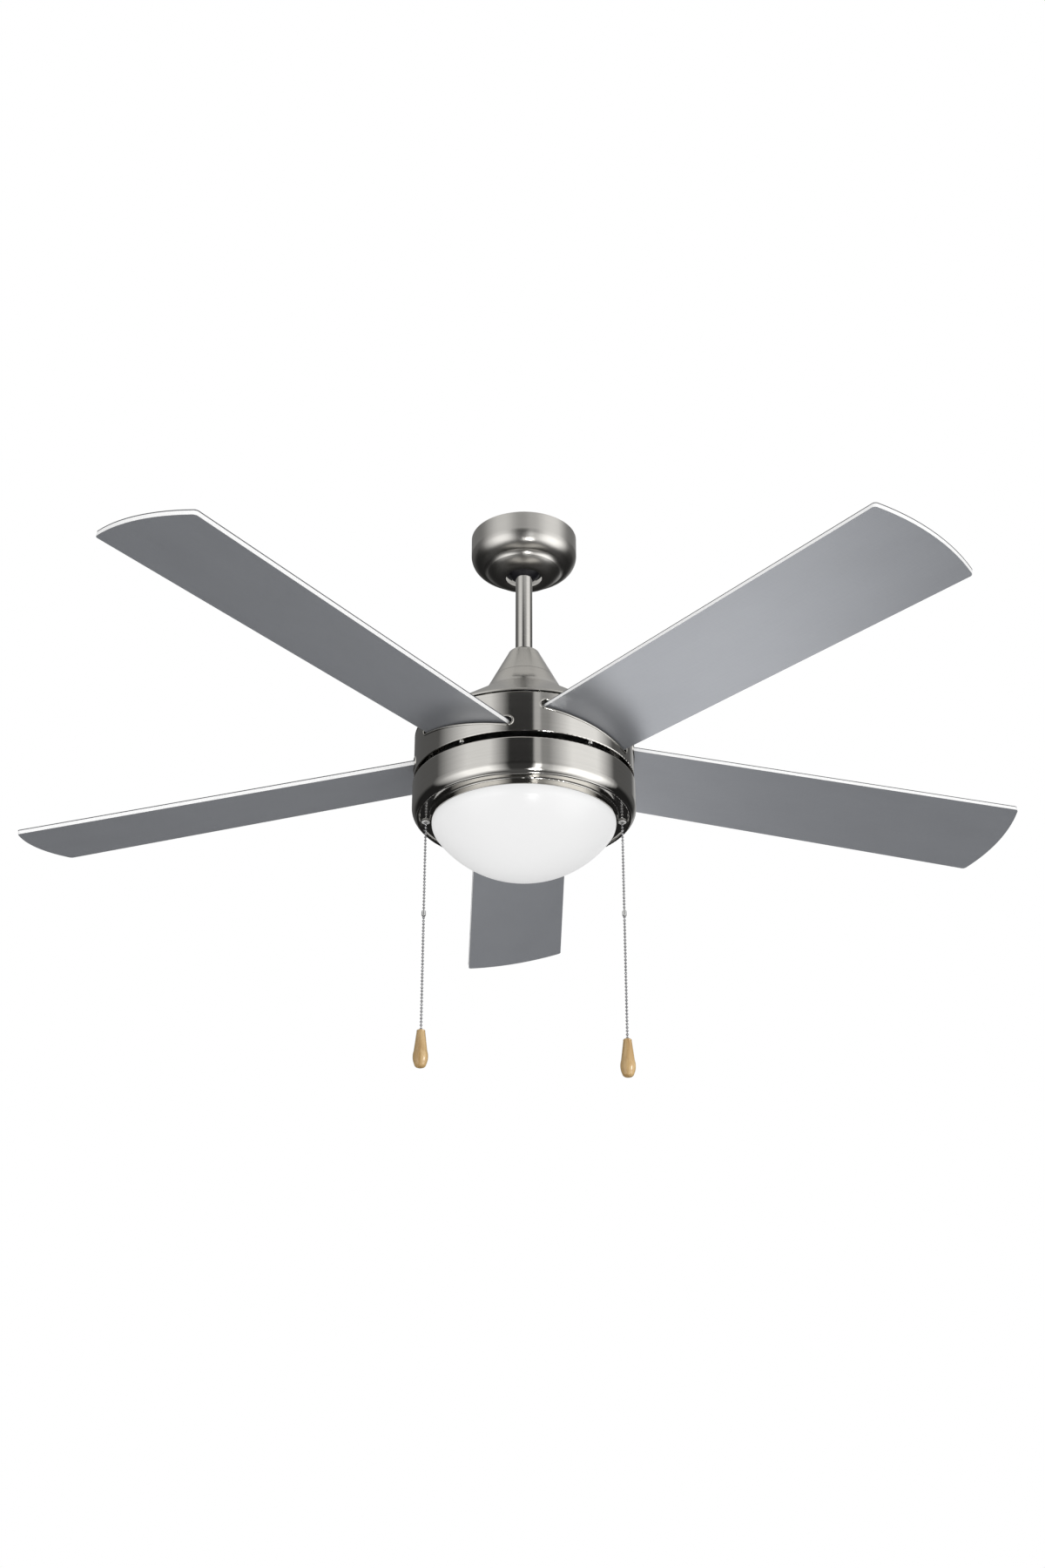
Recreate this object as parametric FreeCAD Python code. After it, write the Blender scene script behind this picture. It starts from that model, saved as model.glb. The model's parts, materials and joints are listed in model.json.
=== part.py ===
import FreeCAD, Part
import math
import os

V = FreeCAD.Vector

# A five-blade ceiling fan with a bowl light and two pull chains. Millimetres, +Z up.
# The origin is on the fan's axis in the plane of the ceiling; the fan hangs into -Z.

# --- driving dimensions ---------------------------------------------------------------
SWEEP = 1310.2              # blade circle, 52 in class
BLADE_COUNT = 5
BLADE_Z = -317.4            # height of the blades' middle plane at the band
BLADE_PITCH = 10.55         # degrees, the edge that leads anticlockwise is the low one
BLADE_DROOPS = (0.97, 2.81, 0.55, 1.36, 0.49)   # degrees, each blade hangs a little differently
BLADE_START = 91.24         # azimuth of the first blade
BLADE_STEP = 360.0 / BLADE_COUNT
BLADE_THICK = 5.5
BLADE_ROOT_HALF = 59.2      # half width at the band
BLADE_TIP_HALF = 69.8
BLADE_CORNER_U = 643.3      # where the tip's corners are
BLADE_ROOT_U = 101.0
BLADE_ROOT_ROUND = 14.0
BLADE_TIP_ROUND = 5.0

CANOPY_R = 66.5
SHEET = 1.0                 # spun sheet metal
BALL_Z = -36.0
BALL_R = 25.0
ROD_R = 10.5
ROD_WALL = 1.6
ROD_TOP = -26.0
ROD_END = -206.0
SHAFT_R = 8.5
SHAFT_BORE = 5.0
SHAFT_TOP = -210.0
SHAFT_END = -366.0

BAND_R = 132.4              # the turning slotted band
BAND_TOP = -291.0
BAND_END = -342.0
HOUSING_R = 133.8           # the fixed lower housing
HOUSING_TOP = -350.0
HOUSING_WALL = 1.0
UNDERSIDE_Z = -391.0        # the narrow face that the chains come out of
LIP_R = 111.4               # lip round the glass
PLATE_Z = -351.2            # top face of the switch plate

HUB_SCREW_CIRCLE = 81.5     # screws that hold each iron to the motor
HUB_SCREW_YS = (-6.5, 6.5)

STATOR_R = 71.0
STATOR_POLES = 12
STACK_HALF = 7.5            # half the height of the laminations
MOTOR_Z = -314.0            # middle of the laminations
AIR_GAP = 0.5

BEARING_BORE = 8.5
BEARING_R = 20.0
BEARING_H = 12.0
BEARING_PITCH_R = 14.25
BEARING_BALL_R = 3.3
BEARING_BALLS = 8
BEARING_ZS = (-294.0, -334.0)

GLASS_RIM_R = 109.8
GLASS_RIM_Z = -399.6
GLASS_DEPTH = 65.0
GLASS_KNUCKLE = 17.5
GLASS_WALL = 3.0
GLASS_NECK_R = 104.6
GLASS_NECK_TOP = -387.0

CHAIN_X = 117.3
CHAIN_Y = 9.0               # both chains hang a little behind the middle
CHAIN_D = 3.2
CHAIN_TOP = -394.0
FOB_R = 8.5
# side, x, top of the fob
CHAINS = (("fan", -CHAIN_X, -652.6), ("light", CHAIN_X, -663.5))
FOB_LENGTH = 44.4

BRACKET_SLOT_X = 44.45      # half of the 3.5 in spacing of a ceiling box
AXIS = V(0, 0, 1)
ORIGIN = V(0, 0, 0)


# --- helpers --------------------------------------------------------------------------
def section(start, *steps):
    """Edges in the XZ plane: a step of 2 numbers is a line's end, of 4 an arc's middle and end."""
    edges = []
    here = V(start[0], 0, start[1])
    for step in steps:
        end = V(step[-2], 0, step[-1])
        if len(step) == 2:
            edges.append(Part.LineSegment(here, end).toShape())
        else:
            edges.append(Part.Arc(here, V(step[0], 0, step[1]), end).toShape())
        here = end
    return edges


def turned(start, *steps):
    """A closed outline turned about the Z axis."""
    edges = section(start, *steps, start)
    return Part.Face(Part.Wire(edges)).revolve(ORIGIN, AXIS, 360)


def spun(wall, start, *steps):
    """Sheet metal: an open outline thickened on its left side, then turned about Z."""
    face = Part.Wire(section(start, *steps)).makeOffset2D(wall, 0, True, True)
    return face.revolve(ORIGIN, AXIS, 360)


def ring(inner, outer, low, high):
    body = Part.makeCylinder(outer, high - low, V(0, 0, low))
    return body.cut(Part.makeCylinder(inner, high - low, V(0, 0, low)))


def block(x0, x1, y0, y1, z0, z1):
    return Part.makeBox(x1 - x0, y1 - y0, z1 - z0, V(x0, y0, z0))


def rod_between(a, b, radius):
    return Part.makeCylinder(radius, (b - a).Length, a, b - a)


def turn(shape, degrees):
    copy = shape.copy()
    copy.rotate(ORIGIN, AXIS, degrees)
    return copy


def around(shape, count, start=0.0):
    return [turn(shape, start + 360.0 * i / count) for i in range(count)]


def screw(head, direction, radius, length, head_r, head_h):
    """A pan-head screw: head is where the head's underside meets the work."""
    direction = V(*direction)
    shank = Part.makeCylinder(radius, length, head, direction)
    cap = Part.makeCylinder(head_r, head_h, head - direction * head_h, direction)
    rim = [e for e in cap.Edges if e.Closed and abs((e.CenterOfMass - head).Length - head_h) < 1e-6]
    cap = cap.makeFillet(head_h * 0.45, rim)
    cross = [block(-head_r, head_r, -0.5, 0.5, -0.1, 1.0), block(-0.5, 0.5, -head_r, head_r, -0.1, 1.0)]
    recess = cross[0].fuse(cross[1]).common(Part.makeCylinder(head_r * 0.6, 1.0, V(0, 0, 0)))
    recess.Placement = FreeCAD.Placement(head - direction * head_h, FreeCAD.Rotation(V(0, 0, 1), direction))
    return shank.fuse(cap).cut(recess)


def group(solids):
    return Part.makeCompound(solids)


PARTS = {}


def keep(name, shape):
    PARTS[name] = shape


# --- ceiling side ---------------------------------------------------------------------
BRACKET_PLATE = 1.6
CANOPY_SCREW_AZ = 18.0
CUP_WALL = 2.0
CUP_GAP = 0.3


def hanger_bracket():
    """Stamped bracket: slotted top plate, two legs, and a cup with an open side for the ball."""
    plate = block(-60, 60, -23, 23, -BRACKET_PLATE, 0)
    plate = plate.common(Part.makeCylinder(64.5, BRACKET_PLATE, V(0, 0, -BRACKET_PLATE)))
    plate = plate.cut(Part.makeCylinder(19, BRACKET_PLATE, V(0, 0, -BRACKET_PLATE)))
    for side in (-1, 1):
        x = side * BRACKET_SLOT_X
        slot = block(x - 6, x + 6, -2.5, 2.5, -BRACKET_PLATE, 0)
        for end in (x - 6, x + 6):
            slot = slot.fuse(Part.makeCylinder(2.5, BRACKET_PLATE, V(end, 0, -BRACKET_PLATE)))
        plate = plate.cut(slot)
    inner = BALL_R + CUP_GAP
    cup = Part.makeSphere(inner + CUP_WALL, V(0, 0, BALL_Z)).cut(Part.makeSphere(inner, V(0, 0, BALL_Z)))
    cup = cup.common(block(-40, 40, -40, 40, BALL_Z - 13.5, BALL_Z - 1))
    cup = cup.cut(block(-15, 15, 0, 40, BALL_Z - 20, BALL_Z + 5))
    bracket = plate.fuse(cup)
    for side in (-1, 1):
        leg_x = side * (inner + CUP_WALL - 0.9)
        leg = block(min(leg_x, leg_x + side * 2), max(leg_x, leg_x + side * 2), -11, 11, BALL_Z - 4, -1)
        bracket = bracket.fuse(leg)
        for az in (CANOPY_SCREW_AZ, -CANOPY_SCREW_AZ):
            tab = turn(block(61.2, 62.8, -4.5, 4.5, -15, -0.8), az if side > 0 else 180 - az)
            bracket = bracket.fuse(tab)
    bracket = bracket.removeSplitter()
    for az in (CANOPY_SCREW_AZ, 180 - CANOPY_SCREW_AZ):
        bracket = bracket.cut(turn(Part.makeCylinder(1.9, 8, V(58, 0, -9), V(1, 0, 0)), az))
    return bracket


def canopy():
    shell = spun(SHEET, (22.6, -57.5), (35.5, -56.2, 45.6, -49.6), (47.8, -46.8, 50.2, -45.0),
                 (62.2, -37.6, CANOPY_R, -25.0), (CANOPY_R, -1.0))
    for az in (CANOPY_SCREW_AZ, 180 - CANOPY_SCREW_AZ):
        hole = Part.makeCylinder(2.3, 12, V(60, 0, -9), V(1, 0, 0))
        shell = shell.cut(turn(hole, az))
    return shell


def canopy_screws():
    one = screw(V(CANOPY_R, 0, -9), (-1, 0, 0), 1.9, 7.5, 3.6, 2.0)
    return group([turn(one, az) for az in (CANOPY_SCREW_AZ, 180 - CANOPY_SCREW_AZ)])


# --- hanging tube and coupling --------------------------------------------------------
def hanger_ball():
    ball = Part.makeSphere(BALL_R, V(0, 0, BALL_Z))
    ball = ball.common(block(-30, 30, -30, 30, BALL_Z - 22.6, BALL_Z + 15))
    ball = ball.cut(Part.makeCylinder(ROD_R, 60, V(0, 0, BALL_Z - 30)))
    ball = ball.cut(Part.makeCylinder(3.05, 60, V(-30, 0, BALL_Z + 4), V(1, 0, 0)))
    return ball


def ball_cross_pin():
    return Part.makeCylinder(3.0, 46, V(-23, 0, BALL_Z + 4), V(1, 0, 0))


CLEVIS_Z = -195.0


def downrod():
    tube = ring(ROD_R - ROD_WALL, ROD_R, ROD_END, ROD_TOP)
    for z in (BALL_Z + 4, CLEVIS_Z):
        tube = tube.cut(Part.makeCylinder(3.05, 60, V(-30, 0, z), V(1, 0, 0)))
    return tube


def supply_leads():
    """Three insulated leads: beside the cross pins in the tube, then close together in the shaft."""
    radius = 1.5
    leads = []
    for i in range(3):
        angle = math.radians(30 + 120 * i)
        beside = (3.3 * (1 - i), 5.3)
        inside = (2.1 * math.cos(angle), 2.1 * math.sin(angle))
        path = [V(*beside, -24), V(*beside, -199), V(*inside, -209.5), V(*inside, -374)]
        lead = rod_between(path[0], path[1], radius)
        for a, b in zip(path[1:], path[2:]):
            lead = lead.fuse(rod_between(a, b, radius)).fuse(Part.makeSphere(radius, a))
        leads.append(lead.removeSplitter())
    return group(leads)


def yoke():
    body = turned((ROD_R + 0.03, -184), (16, -184), (16, -203), (26, -209), (26, -212.9), (17, -212.9),
                  (17, -240), (SHAFT_R, -240), (SHAFT_R, SHAFT_TOP), (7, SHAFT_TOP), (7, ROD_END),
                  (ROD_R + 0.03, ROD_END))
    body = body.cut(Part.makeCylinder(3.05, 60, V(-30, 0, CLEVIS_Z), V(1, 0, 0)))
    for az in (60, 240):
        body = body.cut(turn(Part.makeCylinder(2.5, 20, V(ROD_R - 1, 0, -189), V(1, 0, 0)), az))
    for hole in around(Part.makeCylinder(1.9, 20, V(COVER_SCREW_R, 0, -225)), 3, 30):
        body = body.cut(hole)
    return body


def yoke_set_screws():
    one = Part.makeCylinder(2.5, 9, V(ROD_R + 0.05, 0, -189), V(1, 0, 0))
    one = one.cut(Part.makeBox(1.5, 6, 0.9, V(ROD_R + 7.6, -3, -189.45)))
    return group([turn(one, az) for az in (60, 240)])


def clevis_pin():
    pin = Part.makeCylinder(3.0, 42, V(-20, 0, CLEVIS_Z), V(1, 0, 0))
    pin = pin.fuse(Part.makeCylinder(4.8, 2.0, V(-22, 0, CLEVIS_Z), V(1, 0, 0)))
    return pin.cut(Part.makeCylinder(1.1, 12, V(19, -6, CLEVIS_Z), V(0, 1, 0)))


def cotter_pin():
    """A split pin: two legs through the clevis pin and a round eye."""
    legs = Part.makeCylinder(1.0, 15, V(19, -6, CLEVIS_Z), V(0, 1, 0))
    eye = Part.makeTorus(2.4, 0.9, V(19, -8.2, CLEVIS_Z), V(1, 0, 0))
    return legs.fuse(eye)


COVER_FLANGE_LOW = -214.3
COVER_SCREW_R = 22.0
HOUSING_SCREW_R = 124.0
PAN_SCREW_R = 70.0
PAN_Z = -374.5              # top face of the light pan
PAN_WALL = 0.8
NECK_SEAM = -205.0
CONE_TOP_R = 20.0
CONE_TOP = -169.5
CONE_END_R = 45.0
CONE_END = -218.1
COVER_SLOPE_R = 62.0        # where the flare under the cone ends in the straight slope
COVER_SLOPE_Z = -236.0


def cone_radius(z):
    return CONE_TOP_R + (CONE_END_R - CONE_TOP_R) * (CONE_TOP - z) / (CONE_TOP - CONE_END)


def coupling_cover():
    seam = cone_radius(NECK_SEAM)
    return spun(1.2, (seam, NECK_SEAM), (CONE_TOP_R, CONE_TOP), (17.2, -165.7, 12.5, -164.4),
                (ROD_R + 0.4, -164.4))


def motor_top_cover():
    """The lower half of the cone, flared out into the shallow cover over the motor."""
    seam_z = NECK_SEAM - 0.4
    shell = spun(SHEET, (BAND_R, -289.0), (BAND_R, -287.5), (131.6, -286.2, 130.0, -285.0),
                 (COVER_SLOPE_R, COVER_SLOPE_Z), (51.3, -227.2, CONE_END_R, CONE_END),
                 (cone_radius(seam_z), seam_z))
    flange = ring(17.2, cone_radius(-213.6) - 0.6, COVER_FLANGE_LOW, -212.9)
    cover = shell.fuse(flange).removeSplitter()
    for hole in around(Part.makeCylinder(2.05, 20, V(COVER_SCREW_R, 0, -225)), 3, 30):
        cover = cover.cut(hole)
    return cover


# --- motor ----------------------------------------------------------------------------
def motor_shaft():
    return ring(SHAFT_BORE, SHAFT_R, SHAFT_END, SHAFT_TOP)


def stator_core():
    low = MOTOR_Z - STACK_HALF
    core = ring(SHAFT_R, 40, low, low + 2 * STACK_HALF)
    neck = block(38, 66, -4.5, 4.5, low, low + 2 * STACK_HALF)
    shoe = ring(63.5, STATOR_R, low, low + 2 * STACK_HALF)
    for gap in around(block(60, 75, -2.2, 2.2, low, low + 2 * STACK_HALF), STATOR_POLES,
                      180.0 / STATOR_POLES):
        shoe = shoe.cut(gap)
    return core.multiFuse(around(neck, STATOR_POLES) + [shoe]).removeSplitter()


def stator_windings():
    reach = STACK_HALF + 5.5
    coil = block(43, 62.5, -9.0, 9.0, MOTOR_Z - reach, MOTOR_Z + reach)
    edges = [e for e in coil.Edges if abs(e.tangentAt(e.FirstParameter).x) > 0.9]
    coil = coil.makeFillet(3.5, edges)
    coil = coil.cut(block(40, 66, -4.8, 4.8, MOTOR_Z - STACK_HALF - 0.3, MOTOR_Z + STACK_HALF + 0.3))
    return group(around(coil, STATOR_POLES))


def rotor_ring():
    low = MOTOR_Z - STACK_HALF
    return ring(STATOR_R + AIR_GAP, 82, low, low + 2 * STACK_HALF)


ROTOR_SCREW_R = 87.8
ROTOR_SCREW_HEAD_Z = -300.6
ROTOR_SCREW_LENGTH = 30.0


def rotor_screw_holes():
    """Through both shells between the irons, with a counterbore for the head."""
    low = ROTOR_SCREW_HEAD_Z - ROTOR_SCREW_LENGTH
    hole = Part.makeCylinder(1.9, ROTOR_SCREW_LENGTH + 6, V(ROTOR_SCREW_R, 0, low))
    hole = hole.fuse(Part.makeCylinder(3.5, 8, V(ROTOR_SCREW_R, 0, ROTOR_SCREW_HEAD_Z)))
    return around(hole, BLADE_COUNT, BLADE_START + BLADE_STEP / 2)


def rotor_shell_upper():
    shell = turned((BEARING_R, -287.6), (27, -287.6), (29, -294.0), (34, -295.4), (84, -295.4),
                   (90.4, -297.9, 93, -304.0), (93, MOTOR_Z), (82, MOTOR_Z), (82, -306.4), (78, -298.5),
                   (30, -298.5), (27, -301.0), (BEARING_R, -301.0))
    for vent in around(block(46, 64, -3, 3, -300, -290), 10, 18):
        shell = shell.cut(vent)
    return shell.cut(group(rotor_screw_holes()))


def rotor_shell_lower():
    shell = turned((BEARING_R, -340.4), (27, -340.4), (29, -334.4), (34, -332.6), (70, -332.6),
                   (74, -335.6), (89, -335.6), (93, -331.6), (93, MOTOR_Z), (82, MOTOR_Z),
                   (82, -321.6), (78, -329.5), (30, -329.5), (27, -327.0), (BEARING_R, -327.0))
    for vent in around(block(46, 64, -3, 3, -336, -326), 10, 18):
        shell = shell.cut(vent)
    iron_holes = [Part.makeCylinder(1.9, 10, V(HUB_SCREW_CIRCLE, y, -341)) for y in HUB_SCREW_YS]
    holes = [h for hole in iron_holes for h in around(hole, BLADE_COUNT, BLADE_START)]
    return shell.cut(group(rotor_screw_holes() + holes))


def bearing_inner_races():
    races = []
    for z in BEARING_ZS:
        race = ring(BEARING_BORE, 11.6, z - BEARING_H / 2, z + BEARING_H / 2)
        races.append(race.cut(Part.makeTorus(BEARING_PITCH_R, BEARING_BALL_R + 0.3, V(0, 0, z))))
    return group(races)


def bearing_outer_races():
    races = []
    for z in BEARING_ZS:
        race = ring(16.9, BEARING_R, z - BEARING_H / 2, z + BEARING_H / 2)
        races.append(race.cut(Part.makeTorus(BEARING_PITCH_R, BEARING_BALL_R + 0.3, V(0, 0, z))))
    return group(races)


def bearing_balls():
    """Both bearings' balls, in thin riveted cages."""
    solids = []
    for z in BEARING_ZS:
        ball = Part.makeSphere(BEARING_BALL_R, V(BEARING_PITCH_R, 0, z))
        cage = ring(13.2, 15.3, z - 2.0, z + 2.0)
        for pocket in around(ball, BEARING_BALLS):
            cage = cage.cut(pocket)
        solids += around(ball, BEARING_BALLS) + [cage]
    return group(solids)


# --- turning band, irons and blades ---------------------------------------------------
BAND_WALL = 1.4
BAND_FLANGE_TOP = BAND_END + 1.2
IRON_FOOT_TOP = -335.6      # underside of the motor shell
BLADE_SCREWS = ((108.0, -24.0), (108.0, 24.0), (119.0, 0.0))
SCREW_CIRCLE = 126.0
SLOT_PLAY = 5.3             # from the blade's edge to the end of its slot
SLOT_HALF_HEIGHT = 4.7
RIM_WIDTH = 2.2             # raised rim round each slot
RIM_HEIGHT = 0.9
RIM_ROUND = 0.75


def blade_tilt(index):
    """Droop and pitch about the point where the blade along +X passes the band."""
    droop = FreeCAD.Rotation(V(0, 1, 0), BLADE_DROOPS[index])
    pitch = FreeCAD.Rotation(V(1, 0, 0), -BLADE_PITCH)
    at_band = FreeCAD.Placement(V(BAND_R, 0, BLADE_Z), droop.multiply(pitch))
    return at_band.multiply(FreeCAD.Placement(V(-BAND_R, 0, 0), FreeCAD.Rotation()))


def blade_place(index):
    """Local X runs along the blade, local Y across it, anticlockwise; the blade's middle is z 0."""
    yaw = FreeCAD.Rotation(AXIS, BLADE_START + BLADE_STEP * index)
    return FreeCAD.Placement(ORIGIN, yaw).multiply(blade_tilt(index))


def half_width(u):
    grow = (BLADE_TIP_HALF - BLADE_ROOT_HALF) / (BLADE_CORNER_U - BAND_R)
    return BLADE_ROOT_HALF + grow * (u - BAND_R)


def blade_blank():
    """The blade lying flat: straight tapered sides, rounded root, and a tip that is one flat arc."""
    tip_u = SWEEP / 2
    root = half_width(BLADE_ROOT_U)
    tip = half_width(BLADE_CORNER_U)
    side = [V(BLADE_ROOT_U, -root, 0), V(BLADE_CORNER_U, -tip, 0), V(BLADE_CORNER_U, tip, 0),
            V(BLADE_ROOT_U, root, 0)]
    edges = [Part.LineSegment(side[0], side[1]).toShape(),
             Part.Arc(side[1], V(tip_u, 0, 0), side[2]).toShape(),
             Part.LineSegment(side[2], side[3]).toShape(),
             Part.LineSegment(side[3], side[0]).toShape()]
    blank = Part.Face(Part.Wire(edges)).extrude(V(0, 0, BLADE_THICK))
    blank.translate(V(0, 0, -BLADE_THICK / 2))

    def corners(low_u, high_u):
        return [e for e in blank.Edges if abs(e.tangentAt(e.FirstParameter).z) > 0.9
                and low_u < e.CenterOfMass.x < high_u]

    blank = blank.makeFillet(BLADE_ROOT_ROUND, corners(BLADE_ROOT_U - 1, BLADE_ROOT_U + 1))
    return blank.makeFillet(BLADE_TIP_ROUND, corners(BLADE_CORNER_U - 1, BLADE_CORNER_U + 1))


def blade(index):
    shape = blade_blank()
    for u, v in BLADE_SCREWS:
        shape = shape.cut(Part.makeCylinder(2.4, 10, V(u, v, -5)))
    shape.Placement = blade_place(index)
    return shape


def blade_iron(index):
    """Die-cast arm: a pad under the motor shell, a foot on the band's flange, a tilted seat."""
    foot = block(74, 129.5, -11, 11, BAND_FLANGE_TOP, IRON_FOOT_TOP)
    seat = block(99, 124, -31, 31, BAND_FLANGE_TOP, -300)
    seat = seat.fuse(block(90, 100, -11, 11, BAND_FLANGE_TOP, -330))
    upper = block(60, 200, -80, 80, -BLADE_THICK / 2, 60)
    upper.Placement = blade_tilt(index)
    hollow = block(103, 120, -27, -14, BAND_FLANGE_TOP, -322).fuse(
        block(103, 120, 14, 27, BAND_FLANGE_TOP, -338))
    iron = foot.fuse(seat).cut(upper).cut(hollow)
    iron = iron.cut(block(70, 93.2, -40, 40, IRON_FOOT_TOP, -300))
    for y in HUB_SCREW_YS:
        iron = iron.cut(Part.makeCylinder(2.05, 20, V(HUB_SCREW_CIRCLE, y, -345)))
    iron = iron.cut(Part.makeCylinder(1.95, 20, V(SCREW_CIRCLE, 0, -350)))
    for u, v in BLADE_SCREWS:
        hole = Part.makeCylinder(1.95, 14, V(u, v, -12))
        hole.Placement = blade_tilt(index)
        iron = iron.cut(hole)
    return turn(iron.removeSplitter(), BLADE_START + BLADE_STEP * index)


def slot_cutter(index, grow):
    """The slot's rounded outline, grown by that much all round, as a bar along the blade."""
    half = BLADE_ROOT_HALF + SLOT_PLAY + grow
    high = SLOT_HALF_HEIGHT + grow
    bar = block(108, 150, -half + high, half - high, -high, high)
    for v in (-half + high, half - high):
        bar = bar.fuse(Part.makeCylinder(high, 42, V(108, v, 0), V(1, 0, 0)))
    bar = bar.removeSplitter()
    bar.Placement = blade_place(index)
    return bar


def motor_band():
    """Thin turned wall with a bottom flange; each blade slot has a raised, rounded rim."""
    wall = turned((128.5, BAND_TOP), (131.6, BAND_TOP), (132.2, -291.2, BAND_R, -291.8),
                  (BAND_R, BAND_END + 1), (132.1, BAND_END + 0.3, BAND_R - 1, BAND_END), (117, BAND_END),
                  (117, BAND_FLANGE_TOP), (BAND_R - BAND_WALL, BAND_FLANGE_TOP),
                  (BAND_R - BAND_WALL, -292.4), (128.5, -292.4))
    for hole in around(Part.makeCylinder(2.05, 6, V(SCREW_CIRCLE, 0, BAND_END - 2)), BLADE_COUNT,
                       BLADE_START):
        wall = wall.cut(hole)
    outer = BAND_R + RIM_HEIGHT
    raised = ring(BAND_R - 0.7, outer, BAND_END + 3, BAND_TOP - 3)
    for index in range(BLADE_COUNT):
        wall = wall.fuse(raised.common(slot_cutter(index, RIM_WIDTH)))
    wall = wall.removeSplitter()
    for index in range(BLADE_COUNT):
        wall = wall.cut(slot_cutter(index, 0.0))
    edges = [e for e in wall.Edges if all(abs(math.hypot(p.x, p.y) - outer) < 0.01 for p in e.discretize(5))]
    return wall.makeFillet(RIM_ROUND, edges)


def blade_screws():
    solids = []
    for index in range(BLADE_COUNT):
        for u, v in BLADE_SCREWS:
            one = screw(V(u, v, BLADE_THICK / 2), (0, 0, -1), 1.9, 12, 4.2, 2.2)
            one.Placement = blade_place(index).multiply(one.Placement)
            solids.append(one)
    return group(solids)


def iron_screws():
    """Screws up through each iron: two into the motor shell and one through the band's flange."""
    band = screw(V(SCREW_CIRCLE, 0, BAND_END), (0, 0, 1), 1.9, 5.2, 3.4, 2.2)
    solids = [band]
    for y in HUB_SCREW_YS:
        solids.append(screw(V(HUB_SCREW_CIRCLE, y, BAND_FLANGE_TOP), (0, 0, 1), 1.9, 8.5, 3.4, 2.2))
    return group([turn(s, BLADE_START + BLADE_STEP * i) for i in range(BLADE_COUNT) for s in solids])


def rotor_screws():
    one = screw(V(ROTOR_SCREW_R, 0, ROTOR_SCREW_HEAD_Z), (0, 0, -1), 1.9, ROTOR_SCREW_LENGTH, 3.2, 2.0)
    return group(around(one, BLADE_COUNT, BLADE_START + BLADE_STEP / 2))


# --- lower housing and switches -------------------------------------------------------
def switch_plate():
    """Pressed plate under the motor; three legs bent down from it carry the light pan."""
    plate = turned((SHAFT_R, -349.5), (15, -349.5), (15, PLATE_Z), (131.5, PLATE_Z),
                   (131.5, PLATE_Z - 1.2), (19, PLATE_Z - 1.2), (15, -356.0), (SHAFT_R, -356.0))
    leg = block(62.5, 63.9, -8, 8, PAN_Z, PLATE_Z - 0.5).fuse(block(62.5, 77, -8, 8, PAN_Z, PAN_Z + 1.4))
    plate = plate.multiFuse(around(leg, 3)).removeSplitter()
    holes = around(Part.makeCylinder(1.9, 6, V(HOUSING_SCREW_R, 0, PLATE_Z - 4)), 3, 30)
    holes += around(Part.makeCylinder(1.9, 6, V(PAN_SCREW_R, 0, PAN_Z - 2)), 3)
    return plate.cut(group(holes))


def shaft_nut():
    nut = Part.Face(Part.makePolygon([V(15 * math.cos(math.radians(60 * i)),
                                        15 * math.sin(math.radians(60 * i)), -362.0)
                                      for i in range(7)])).extrude(V(0, 0, 6))
    return nut.cut(Part.makeCylinder(SHAFT_R, 8, V(0, 0, -363)))


def lower_housing():
    shell = spun(-HOUSING_WALL, (118, HOUSING_TOP), (HOUSING_R - 1.8, HOUSING_TOP),
                 (HOUSING_R - 0.5, HOUSING_TOP - 0.5, HOUSING_R, HOUSING_TOP - 1.8), (HOUSING_R, -381.0),
                 (132.36, -387.6, 128.3, -393.0), (126.2, -394.2, 124.4, -392.8),
                 (123.2, UNDERSIDE_Z - 0.3), (113.2, UNDERSIDE_Z - 0.3),
                 (111.65, -391.8, LIP_R - 0.35, -393.1), (LIP_R + 0.1, -399.0))
    for _, x, _ in CHAINS:
        shell = shell.cut(Part.makeCylinder(3.4, 20, V(x, CHAIN_Y, -400)))
    for hole in around(Part.makeCylinder(2.05, 6, V(HOUSING_SCREW_R, 0, HOUSING_TOP - 3)), 3, 30):
        shell = shell.cut(hole)
    return shell


def housing_screws():
    """Nine alike: three each for the motor's top cover, the lower housing and the light pan."""
    places = ((COVER_SCREW_R, COVER_FLANGE_LOW, 1, 30), (HOUSING_SCREW_R, HOUSING_TOP, -1, 30),
              (PAN_SCREW_R, PAN_Z - PAN_WALL, 1, 0))
    solids = []
    for radius, z, direction, start in places:
        one = screw(V(radius, 0, z), (0, 0, direction), 1.9, 5.5, 3.4, 2.0)
        solids += around(one, 3, start)
    return group(solids)


def pull_switch(x):
    """A square pull-chain switch with its threaded neck; the link slides in the neck's bore."""
    case = block(107.8, 130.0, -11.5, 11.5, -378.5, -355.5)
    case = case.makeFillet(1.5, [e for e in case.Edges if abs(e.tangentAt(e.FirstParameter).z) > 0.9])
    neck = Part.makeCylinder(4.6, 10.6, V(CHAIN_X, 0, -389.0))
    switch = case.fuse(neck).cut(Part.makeCylinder(2.6, 34, V(CHAIN_X, 0, -390)))
    switch = switch.cut(Part.makeCylinder(5.2, 17.6, V(CHAIN_X, 0, -376.0)))
    for y in (-7, 7):
        switch = switch.cut(Part.makeCylinder(1.1, 6, V(123, y, -359)))
    switch.translate(V(0, CHAIN_Y, 0))
    return switch if x > 0 else switch.mirror(ORIGIN, V(1, 0, 0))


def pull_link(x):
    """The switch's own short chain: a headed stem that ends in an eye under the eyelet."""
    stem = Part.makeCylinder(1.5, 30.0, V(x, CHAIN_Y, -392.4))
    head = Part.makeCylinder(4.6, 1.6, V(x, CHAIN_Y, -363.4))
    return stem.fuse(head).removeSplitter()


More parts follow.
